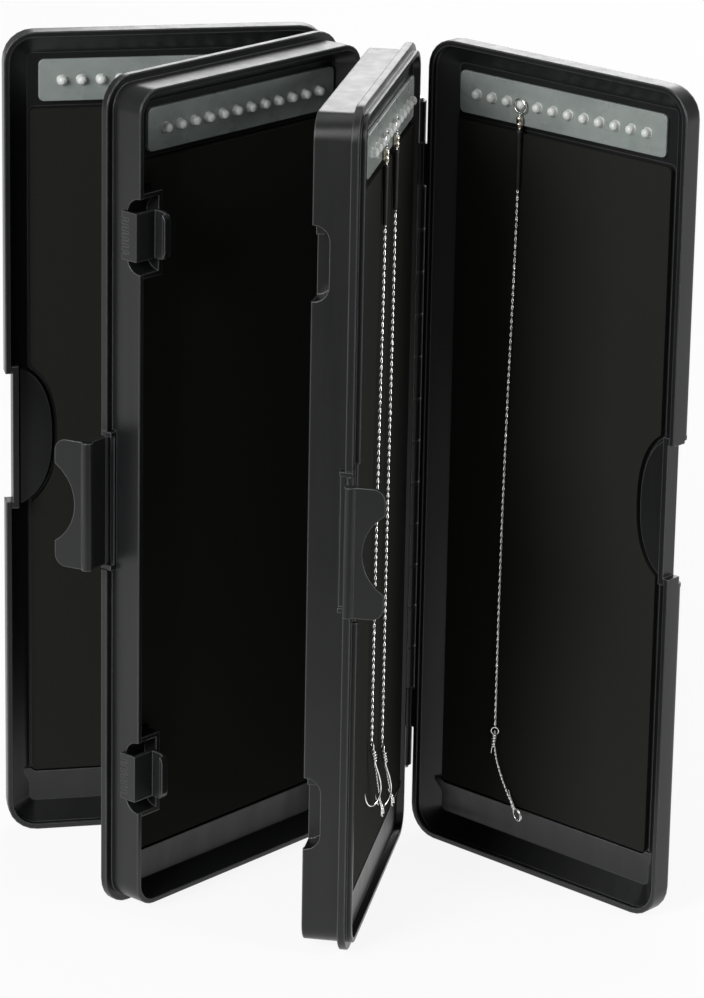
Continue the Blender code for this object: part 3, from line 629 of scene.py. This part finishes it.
# Sideways and up from the knot's foot in mm: shank, round bend and point
hook_line = (
    (0.0, 0.8),
    (-1.2, -2.4),
    (-2.8, -6.2),
    (-4.0, -10.2),
    (-4.1, -13.6),
    (-2.7, -16.8),
    (0.0, -18.7),
    (3.0, -18.0),
    (5.0, -15.4),
    (5.7, -12.2),
)


def make_hook(rig, leaf, body, start):
    """A wide hook of tapered wire, turned half out of the leaf's plane, with its barb near the point."""
    sideways = Vector((cos(hook_turn), -sin(hook_turn), 0))
    line = [start + (sideways * across + Vector((0, 0, rise))) * mm for across, rise in hook_line]
    fine = even_line(line, hook_spacing)
    radii = []
    for step in range(len(fine)):
        tapered = hook_tip_share + (len(fine) - 1 - step) / hook_taper_steps
        radii.append(hook_wire * min(1.0, tapered))
    barb = fine[-barb_steps_back]
    spur = barb - sideways * barb_aside_mm * mm - Vector((0, 0, barb_rise))
    lines = [
        ([leaf.at(*point) for point in fine], radii, False),
        ([leaf.at(*barb), leaf.at(*spur)], list(barb_radii), False),
    ]
    hook = wire_piece(rig + "_barbed_hook", lines, rig_steel, ring_sides)
    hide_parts(rig + "_hook")
    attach(hook, body)
    return hook


strand_radius = 0.31 * mm
strand_offset = 0.33 * mm
strand_spacing = 0.45 * mm
wire_pitch = 5.9 * mm
# How far the leader has fallen, and how far of its lean it has gone by then
wire_shares = (
    (0.0, 0.0),
    (0.04, 0.0),
    (0.08, 0.0),
    (0.12, 0.02),
    (0.17, 0.07),
    (0.24, 0.19),
    (0.32, 0.34),
    (0.4, 0.5),
    (0.48, 0.64),
    (0.56, 0.76),
    (0.64, 0.86),
    (0.73, 0.93),
    (0.82, 0.98),
    (0.91, 1.0),
    (1.0, 1.0),
)

# In mm: each leader's depth in its leaf, the height of its foot and its lean, how far its knot stands out,
# and the tail's run across, out and down
for rig, leaf, body, peg, depth, foot, lean, out, run, hooked in (
    ("rig_b", cover_b, "cover_b", 3, 5.1, 59.45, -3.6, -0.7, (12, 0.0, 25), False),
    ("rig_c", tray_b, "tray_b", 8, 21.1, 79.45, 7.0, 1.6, (-10, 1.2, 24), True),
    ("rig_d", tray_b, "tray_b", 5, 21.1, 68.45, 5.0, 1.6, (-9, 1.2, 19), True),
):
    peg_u = first_peg + peg * peg_pitch
    v = depth * mm
    barrel_low = make_swivel(rig, leaf, body, peg_u, v, peg_height + peg_radius + hang_gap - ring_radius)
    sleeve = make_sleeve(rig, leaf, body, peg_u, v, barrel_low - sleeve_gap)
    wire_high = barrel_low - hang_gap
    drop = wire_high - foot * mm
    route = []
    for fall, share in wire_shares:
        route.append(Vector((peg_u + lean * mm * share, v, wire_high - drop * fall)))
    knot_top = route[-1] - Vector((0, 0, hang_gap))
    knot_foot = knot_top + Vector((0, out * mm, -knot_length))
    away = -1 if run[0] < 0 else 1
    tail_start = knot_foot + Vector((away * tail_offset, 0, -hang_gap))
    on_wire = [sleeve, make_knot(rig, leaf, body, knot_top, knot_foot)]
    on_wire.append(make_tail(rig, leaf, body, tail_start, [part * mm for part in run]))
    if hooked:
        on_wire.append(make_hook(rig, leaf, body, knot_foot - Vector((away * tail_offset, 0, 0))))
    fine = even_line(route, strand_spacing)
    strands = alike(twist(leaf, fine, strand_offset, wire_pitch), strand_radius)
    leader = wire_piece(rig + "_leader", strands, rig_steel)
    centre_line = [leaf.at(*point) for point in fine]
    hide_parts(rig + "_wire")
    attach(leader, body)
    round(sum((end - start).length for start, end in zip(centre_line, centre_line[1:])), 4)

# Leaf shells
# The two trays and two covers are injection moulded in charcoal plastic with a fine satin texture.
# Corners and rims carry a painted highlight, a pale colour blended onto the edges, and handling has rubbed
# faint streaks.
merge_reach = 0.01 * mm
crisp_angle = radians(31)
flat_face_weight = 100
shell_dark = (0.0045, 0.0047, 0.0051)
shell_light = (0.0085, 0.0088, 0.0094)
# Pale colour painted onto the edges as a highlight
shell_edge_highlight = (0.13, 0.131, 0.135)
shell_rough = 0.36
plastic_cloud = 45 * mm
plastic_streak = 5 * mm
plastic_grain = 0.35 * mm
plastic_grain_depth = 0.05 * mm
plastic_edge = 0.7 * mm
plastic_specular = 0.4
edge_gain = 9.0
rubbed_share = 0.22
rubbed_gain = 1.7


def moulded_plastic(name, dark, light, worn, rough):
    """Cloudy dark plastic with a painted highlight on its edges, upright rubbed streaks and a fine grain."""
    plastic = Finish(name)
    cloud = plastic.noise(plastic_cloud, detail=4.0)
    streak = plastic.noise(plastic_streak, detail=5.0, stretch=(1, 1, 0.08))
    grain = plastic.noise(plastic_grain, detail=2.0)
    rounded = plastic.soft_edges(plastic_edge)
    edge = plastic.edge_share(rounded, edge_gain)
    rubbed = (streak * 2.4 - 0.9).bounded()
    colour = plastic.blend((cloud * 1.6 - 0.3).bounded(), dark, light)
    colour = plastic.blend(rubbed * rubbed_share, colour, tuple(rubbed_gain * part for part in light))
    # Painted highlight: the softened edges are blended towards a pale colour
    colour = plastic.blend(edge * (0.35 + streak * 0.7), colour, worn)
    bump = plastic.bump(grain, 0.12, plastic_grain_depth, Normal=rounded)
    roughness = (rough - rubbed * 0.08 + (cloud - 0.5) * 0.05).bounded()
    return plastic.close(
        Base_Color=colour, Roughness=roughness, Normal=bump, Specular_IOR_Level=plastic_specular
    )


def moulding(name, body, material):
    """A merged copy of a CAD piece with smooth rounds and crisp edges, in its place."""
    mesh = nodes[name].data.copy()
    work = bmesh.new()
    work.from_mesh(mesh)
    bmesh.ops.remove_doubles(work, verts=work.verts, dist=merge_reach)
    for face in work.faces:
        face.smooth = True
    for edge in work.edges:
        edge.smooth = edge.calc_face_angle(pi) < crisp_angle
    work.to_mesh(mesh)
    work.free()
    mesh.materials.clear()
    mesh.materials.append(material)
    piece = bpy.data.objects.new(name.replace("_shell", "") + "_moulding", mesh)
    bpy.context.scene.collection.objects.link(piece)
    even = piece.modifiers.new("even", "WEIGHTED_NORMAL")
    even.keep_sharp = True
    even.weight = flat_face_weight
    shaped = bpy.data.meshes.new_from_object(piece.evaluated_get(bpy.context.evaluated_depsgraph_get()))
    piece.modifiers.clear()
    piece.data = shaped
    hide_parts(name)
    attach(piece, body)


leaves = ("cover_a", "tray_a", "tray_b", "cover_b")
shell_plastic = moulded_plastic("shell_plastic", shell_dark, shell_light, shell_edge_highlight, shell_rough)
for body in leaves:
    moulding(body + "_shell", body, shell_plastic)

# Clips and sliders
# The edge clips, which grip a cover's rim, and the sliding latches between the trays are separate mouldings
# of the same plastic, a little paler and smoother. The clips' bases sit in notches of the trays' edges.
latch_dark = (0.0075, 0.0078, 0.0084)
latch_light = (0.0125, 0.0129, 0.0136)
latch_rough = 0.33
latch_plastic = moulded_plastic("latch_plastic", latch_dark, latch_light, shell_edge_highlight, latch_rough)
for name, body in (
    ("clip_a_base", "tray_a"),
    ("clip_a_flap", "clip_a"),
    ("clip_b_base", "tray_b"),
    ("clip_b_flap", "clip_b"),
    ("slider_low", "slider_low"),
    ("slider_high", "slider_high"),
):
    moulding(name, body, latch_plastic)

# Foam liners
# Black closed-cell foam, cut to the leaves' pockets and glued in. The cut edges are soft, and the face has
# a fine warm grain.
foam_edge = 0.45 * mm
foam_flat_angle = radians(1)
foam_sharp_angle = radians(50)
foam_dark = (0.0055, 0.0055, 0.0048)
foam_light = (0.0165, 0.0164, 0.014)
foam_dusty = (0.0115, 0.0114, 0.01)
foam_rough = 0.95
foam_specular = 0.2
foam_cloud = 30 * mm
foam_cell = 0.5 * mm
foam_cell_depth = 0.12 * mm


def closed_cell_foam():
    """Matt black foam, grained by its cells and dusty in wide patches."""
    foam = Finish("liner_foam")
    cloud = foam.noise(foam_cloud, detail=4.0)
    cells = foam.noise(foam_cell, detail=3.0, roughness=0.7)
    colour = foam.blend((cells * 1.8 - 0.4).bounded(), foam_dark, foam_light)
    colour = foam.blend((cloud * 1.4 - 0.3).bounded(), colour, foam_dusty)
    bump = foam.bump(cells, 0.5, foam_cell_depth)
    return foam.close(
        Base_Color=colour, Roughness=foam_rough, Normal=bump, Specular_IOR_Level=foam_specular
    )


liner_foam = closed_cell_foam()
for body in leaves:
    for name in [name for name in nodes if name.startswith(body) and name.endswith("_foam")]:
        mesh = nodes[name].data.copy()
        work = bmesh.new()
        work.from_mesh(mesh)
        bmesh.ops.remove_doubles(work, verts=work.verts, dist=merge_reach)
        bmesh.ops.dissolve_limit(
            work,
            angle_limit=foam_flat_angle,
            verts=work.verts,
            edges=work.edges,
            use_dissolve_boundaries=False,
        )
        sharp = [edge for edge in work.edges if edge.calc_face_angle(0) > foam_sharp_angle]
        bmesh.ops.bevel(
            work, geom=sharp, offset=foam_edge, segments=3, profile=0.5, affect="EDGES", clamp_overlap=True
        )
        bmesh.ops.recalc_face_normals(work, faces=work.faces)
        work.to_mesh(mesh)
        work.free()
        mesh.materials.clear()
        mesh.materials.append(liner_foam)
        liner = bpy.data.objects.new(name.replace("_foam", "_liner"), mesh)
        bpy.context.scene.collection.objects.link(liner)
        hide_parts(name)
        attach(liner, body)

# Peg strips
# A strip of milky plastic with a row of twelve domed pegs is pressed in above each liner.
# The pegs are part of the strip, but their colour is painted paler to stand for the light that gathers in
# them.
plate_dark = (0.185, 0.212, 0.2)
plate_light = (0.285, 0.312, 0.3)
plate_rough = 0.28
plate_glow = 0.2
# Painted light: the pegs' colours are far paler than the plate's, for the light that gathers in them
peg_dark = (0.5, 0.525, 0.51)
peg_light = (0.7, 0.72, 0.7)
peg_rough = 0.3
peg_glow = 0.4
strip_cloud = 14 * mm
strip_flow = 30 * mm
strip_scratch = 0.6 * mm
strip_scratch_depth = 0.03 * mm
strip_edge = 0.4 * mm
glow_reach = (2 * mm, 2 * mm, 2 * mm)
peg_count = 12
plate_low_u = 16.7 * mm
plate_high_u = 126.5 * mm
plate_low_z = 323.9 * mm
plate_high_z = 341.8 * mm
plate_corner = 2.5 * mm
plate_corner_steps = 6
plate_edge = 0.35 * mm
plate_edge_steps = 3
peg_flare = 0.35 * mm
peg_flare_bend = (0.3, 0.4)
peg_foot = 0.4 * mm
peg_sides = 24
peg_dome = 1.6 * mm
peg_dome_steps = 8
peg_crown_share = 0.06
peg_side_share = 0.9


def strip_plastic(name, low_shade, high_shade, rough, glow):
    """Milky plastic that lets a little light in, with faint flow marks and scratches."""
    strip = Finish(name)
    cloud = strip.noise(strip_cloud, detail=3.0)
    flow = strip.noise(strip_flow, detail=2.0, stretch=(1, 1, 3))
    scratch = strip.noise(strip_scratch, detail=3.0, stretch=(0.1, 0.1, 1))
    colour = strip.blend((cloud * 0.9 + flow * 0.9 - 0.4).bounded(), low_shade, high_shade)
    rounded = strip.soft_edges(strip_edge)
    bump = strip.bump(scratch, 0.06, strip_scratch_depth, Normal=rounded)
    return strip.close(
        Base_Color=colour,
        Roughness=(rough + (cloud - 0.5) * 0.16).bounded(),
        Normal=bump,
        Subsurface_Weight=glow,
        Subsurface_Radius=glow_reach,
        Subsurface_Scale=1.0,
    )


plate_plastic = strip_plastic("strip_plate_plastic", plate_dark, plate_light, plate_rough, plate_glow)
peg_painted_glow = strip_plastic("strip_peg_plastic", peg_dark, peg_light, peg_rough, peg_glow)


def peg_row_tree():
    """A plate with a row of pegs that starts at one place and repeats by one step."""
    group, given = new_tree(
        "peg_row",
        Geometry="Geometry",
        Peg="Object",
        Count="Int",
        Start="Vector",
        Step="Vector",
        Plate_Finish="Material",
        Peg_Finish="Material",
    )
    row = grow(
        group,
        "GeometryNodeMeshLine",
        Count=given["Count"],
        Start_Location=given["Start"],
        Offset=given["Step"],
    )
    peg = grow(group, "GeometryNodeObjectInfo", Object=given["Peg"])
    pegs = grow(
        group, "GeometryNodeInstanceOnPoints", Points=row.outputs["Mesh"], Instance=peg.outputs["Geometry"]
    )
    whole = grow(group, "GeometryNodeRealizeInstances", Geometry=pegs.outputs["Instances"])
    pale = grow(
        group, "GeometryNodeSetMaterial", Geometry=whole.outputs["Geometry"], Material=given["Peg Finish"]
    )
    plate = grow(
        group, "GeometryNodeSetMaterial", Geometry=given["Geometry"], Material=given["Plate Finish"]
    )
    joined = group.nodes.new("GeometryNodeJoinGeometry")
    for part in (plate, pale):
        group.links.new(part.outputs["Geometry"], joined.inputs["Geometry"])
    close_tree(group, joined.outputs["Geometry"])
    return group


peg_row = peg_row_tree()


def plate_ring(leaf, depth, inset):
    """The plate's outline at one depth, moved inward by inset."""
    ring = []
    radius = plate_corner - inset
    for u, z, start in (
        (plate_high_u - plate_corner, plate_low_z + plate_corner, -0.5),
        (plate_high_u - plate_corner, plate_high_z - plate_corner, 0.0),
        (plate_low_u + plate_corner, plate_high_z - plate_corner, 0.5),
        (plate_low_u + plate_corner, plate_low_z + plate_corner, 1.0),
    ):
        for step in range(plate_corner_steps + 1):
            turn = pi * (start + step / (2 * plate_corner_steps))
            ring.append(leaf.at(u + radius * cos(turn), depth, z + radius * sin(turn)))
    return ring


def closed_mesh(name, rings):
    """A closed body through rings of equal count, capped at both ends."""
    count = len(rings[0])
    points = [point for ring in rings for point in ring]
    faces = [tuple(range(count)), tuple(range(len(points) - count, len(points)))]
    for level in range(len(rings) - 1):
        for side in range(count):
            here = level * count + side
            after = level * count + (side + 1) % count
            faces.append((here, after, after + count, here + count))
    mesh = bpy.data.meshes.new(name)
    mesh.from_pydata(points, [], faces)
    work = bmesh.new()
    work.from_mesh(mesh)
    bmesh.ops.recalc_face_normals(work, faces=work.faces)
    work.to_mesh(mesh)
    work.free()
    return mesh


def peg_profile(reach):
    """Distance from the plate and radius of one peg: a flared foot, a straight side and a dome."""
    flare_out, flare_in = peg_flare_bend
    profile = [(-peg_foot, peg_radius + peg_flare), (0.0, peg_radius + peg_flare)]
    profile += [(peg_flare * flare_out, peg_radius + peg_flare * flare_in), (peg_flare, peg_radius)]
    for step in range(peg_dome_steps + 1):
        turn = pi / 2 * step / peg_dome_steps
        radius = peg_radius * (peg_crown_share + peg_side_share * cos(turn))
        profile.append((reach - peg_dome * (1 - sin(turn)), radius))
    return profile


# Per strip: its leaf and body, the depths of its back and front, and how far its pegs stand out
for name, leaf, body, back, front, peg_reach in (
    ("cover_a_strip", cover_a, "cover_a", 8.2 * mm, 6.9 * mm, 2.8 * mm),
    ("tray_a_inner_strip", tray_a, "tray_a", 9.3 * mm, 7.6 * mm, 3.2 * mm),
    ("tray_a_outer_strip", tray_a, "tray_a", 18.2 * mm, 19.6 * mm, 2.8 * mm),
    ("tray_b_inner_strip", tray_b, "tray_b", 9.3 * mm, 7.6 * mm, 3.2 * mm),
    ("tray_b_outer_strip", tray_b, "tray_b", 18.2 * mm, 19.6 * mm, 2.8 * mm),
    ("cover_b_strip", cover_b, "cover_b", 8.2 * mm, 6.9 * mm, 2.8 * mm),
):
    outward = 1 if front > back else -1
    levels = [(back, 0.0), (front - outward * plate_edge, 0.0)]
    for step in range(1, plate_edge_steps + 1):
        turn = pi / 2 * step / plate_edge_steps
        levels.append((front - outward * plate_edge * (1 - sin(turn)), plate_edge * (1 - cos(turn))))
    plate = closed_mesh(name, [plate_ring(leaf, depth, inset) for depth, inset in levels])
    rings = []
    for reach, radius in peg_profile(peg_reach):
        ring = []
        for side in range(peg_sides):
            turn = 2 * pi * side / peg_sides
            spot = leaf.along * radius * cos(turn) + leaf.into * outward * reach
            ring.append(spot + Vector((0, 0, radius * sin(turn))))
        rings.append(ring)
    peg_mesh = closed_mesh(name + "_peg", rings)
    peg_mesh.shade_smooth()
    peg = bpy.data.objects.new(name + "_peg", peg_mesh)
    bpy.context.scene.collection.objects.link(peg)
    strip = plain_mesh(
        name + "_with_pegs",
        plate,
        peg_row,
        Peg=peg,
        Count=peg_count,
        Start=leaf.at(first_peg, front, peg_height),
        Step=leaf.along * peg_pitch,
        Plate_Finish=plate_plastic,
        Peg_Finish=peg_painted_glow,
    )
    bpy.data.objects.remove(peg)
    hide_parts(name)
    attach(strip, body)

# Hinge sleeves
# Between its upper and lower knuckles each hinge pin runs in a long plastic sleeve, ringed like the knuckles.
# One leaf of each pair carries it.
hinge_sleeve_low = 66.6 * mm
hinge_sleeve_high = 290.4 * mm
hinge_sleeve_radius = 4.3 * mm
hinge_sleeve_bore = 1.4 * mm
hinge_sleeve_sides = 32
groove_depth = 0.22 * mm
groove_half = 0.35 * mm
ring_count = 12
ring_span = (hinge_sleeve_high - hinge_sleeve_low) / ring_count
groove_radius = hinge_sleeve_radius - groove_depth
for name, leaf, body in (
    ("hinge_sleeve_middle", tray_b, "tray_b"),
    ("hinge_sleeve_a", cover_a, "cover_a"),
    ("hinge_sleeve_b", cover_b, "cover_b"),
):
    profile = [(hinge_sleeve_bore, hinge_sleeve_low)]
    for ring in range(ring_count):
        low = hinge_sleeve_low + ring * ring_span
        profile += [
            (groove_radius, low),
            (groove_radius, low + groove_half),
            (hinge_sleeve_radius, low + 2 * groove_half),
            (hinge_sleeve_radius, low + ring_span - 2 * groove_half),
            (groove_radius, low + ring_span - groove_half),
        ]
    profile += [(groove_radius, hinge_sleeve_high), (hinge_sleeve_bore, hinge_sleeve_high)]
    hinge_sleeve = lathe(name, leaf, 0, 0, profile, shell_plastic, hinge_sleeve_sides)
    hinge_sleeve.data.polygons.foreach_set("use_smooth", [False] * len(hinge_sleeve.data.polygons))
    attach(hinge_sleeve, body)

# Hinge and clip pins
# The leaves turn on three long pins and the clips' flaps on two short ones. All are drawn steel wire, cut to
# length and headed, and are pushed through the knuckles from one end.
pin_colour = (0.56, 0.56, 0.55)
pin_rough = 0.28
pin_steel = drawn_steel("pin_steel", pin_colour, pin_rough)
for name in ("clip_a_pin", "clip_b_pin", "hinge_pin_middle", "hinge_pin_a", "hinge_pin_b"):
    if not nodes[name].material_slots:
        nodes[name].data.materials.append(pin_steel)
    for slot in nodes[name].material_slots:
        slot.material = pin_steel

# Floor and light
# A white sweep under soft boxes: a wide one behind and above that the level faces mirror, a large one at the
# front left, and weak ones overhead and at the right. The sweep is white near the box and darkens towards
# the viewer, so that the walls that face forward mirror less of it.
floor_half = 3.0
floor_drop = 0.2 * mm
floor_dark = (0.1, 0.1, 0.1)
floor_light = (0.8, 0.8, 0.8)
seen_white = 0.9
white_front = -0.12
white_fall = 2.2
mirror_white = 0.95
sky_level = 0.17
mirrored_sky = 0.2


def white_floor():
    """Plain floor that takes shadows, mixed with white where the camera or a mirroring face sees it."""
    sweep = Finish("white_floor")
    seen = sweep.node("ShaderNodeLightPath", output="Is Camera Ray")
    mirrored = sweep.node("ShaderNodeLightPath", output="Is Glossy Ray")
    passed = sweep.node("ShaderNodeLightPath", output="Is Transmission Ray")
    place = sweep.node("ShaderNodeTexCoord", output="Object")
    depth = sweep.node("ShaderNodeSeparateXYZ", output="Y", Vector=place)
    near = (1 + (depth - white_front) * white_fall).bounded()
    tone = sweep.blend(near, floor_dark, floor_light)
    plain = sweep.node("ShaderNodeBsdfDiffuse", Color=tone)
    white = sweep.node("ShaderNodeEmission", Color=(1, 1, 1, 1), Strength=1.0)
    share = (seen * seen_white + (mirrored + passed) * near * mirror_white).bounded()
    mixed = sweep.node("ShaderNodeMixShader", Fac=share)
    sweep.tree.links.new(plain.socket, mixed.socket.node.inputs[1])
    sweep.tree.links.new(white.socket, mixed.socket.node.inputs[2])
    output = sweep.tree.nodes.new("ShaderNodeOutputMaterial")
    sweep.tree.links.new(mixed.socket, output.inputs["Surface"])
    return sweep.material


floor_mesh = bpy.data.meshes.new("floor")
floor_signs = ((-1, -1), (1, -1), (1, 1), (-1, 1))
floor_corners = [(x * floor_half, y * floor_half, -floor_drop) for x, y in floor_signs]
floor_mesh.from_pydata(floor_corners, [], [(0, 1, 2, 3)])
floor_mesh.materials.append(white_floor())
floor = bpy.data.objects.new("floor", floor_mesh)
bpy.context.scene.collection.objects.link(floor)

world = bpy.data.worlds.new("studio")
world.use_nodes = True
world.node_tree.nodes.clear()
sky = world.node_tree.nodes.new("ShaderNodeBackground")
paths = world.node_tree.nodes.new("ShaderNodeLightPath")
camera_ray = Number(world.node_tree, paths.outputs["Is Camera Ray"])
glossy_ray = Number(world.node_tree, paths.outputs["Is Glossy Ray"])
passing_ray = Number(world.node_tree, paths.outputs["Is Transmission Ray"])
strength = camera_ray * (1 - sky_level) + (glossy_ray + passing_ray) * mirrored_sky + sky_level
world.node_tree.links.new(strength.socket, sky.inputs["Strength"])
world_output = world.node_tree.nodes.new("ShaderNodeOutputWorld")
world.node_tree.links.new(sky.outputs[0], world_output.inputs[0])
bpy.context.scene.world = world


def soft_box(name, place, size, power):
    """An area lamp turned to the middle of the box, its place and size in metres and its power in watts."""
    data = bpy.data.lights.new(name, "AREA")
    data.shape = "RECTANGLE"
    data.size = size[0]
    data.size_y = size[1]
    data.energy = power
    lamp = bpy.data.objects.new(name, data)
    lamp.location = place
    lamp.rotation_euler = (box_middle - Vector(place)).to_track_quat("-Z", "Y").to_euler()
    bpy.context.scene.collection.objects.link(lamp)


box_middle = Vector((0, 0, 0.18))
soft_box("back", (0.6, 1.9, 1.0), (1.8, 0.9), 21)
soft_box("overhead", (-0.2, 0.2, 1.6), (1.2, 0.8), 4)
soft_box("front_left", (-1.3, -1.5, 1.0), (1.0, 1.2), 50)
soft_box("right", (1.5, -0.7, 0.6), (0.6, 1.0), 16)
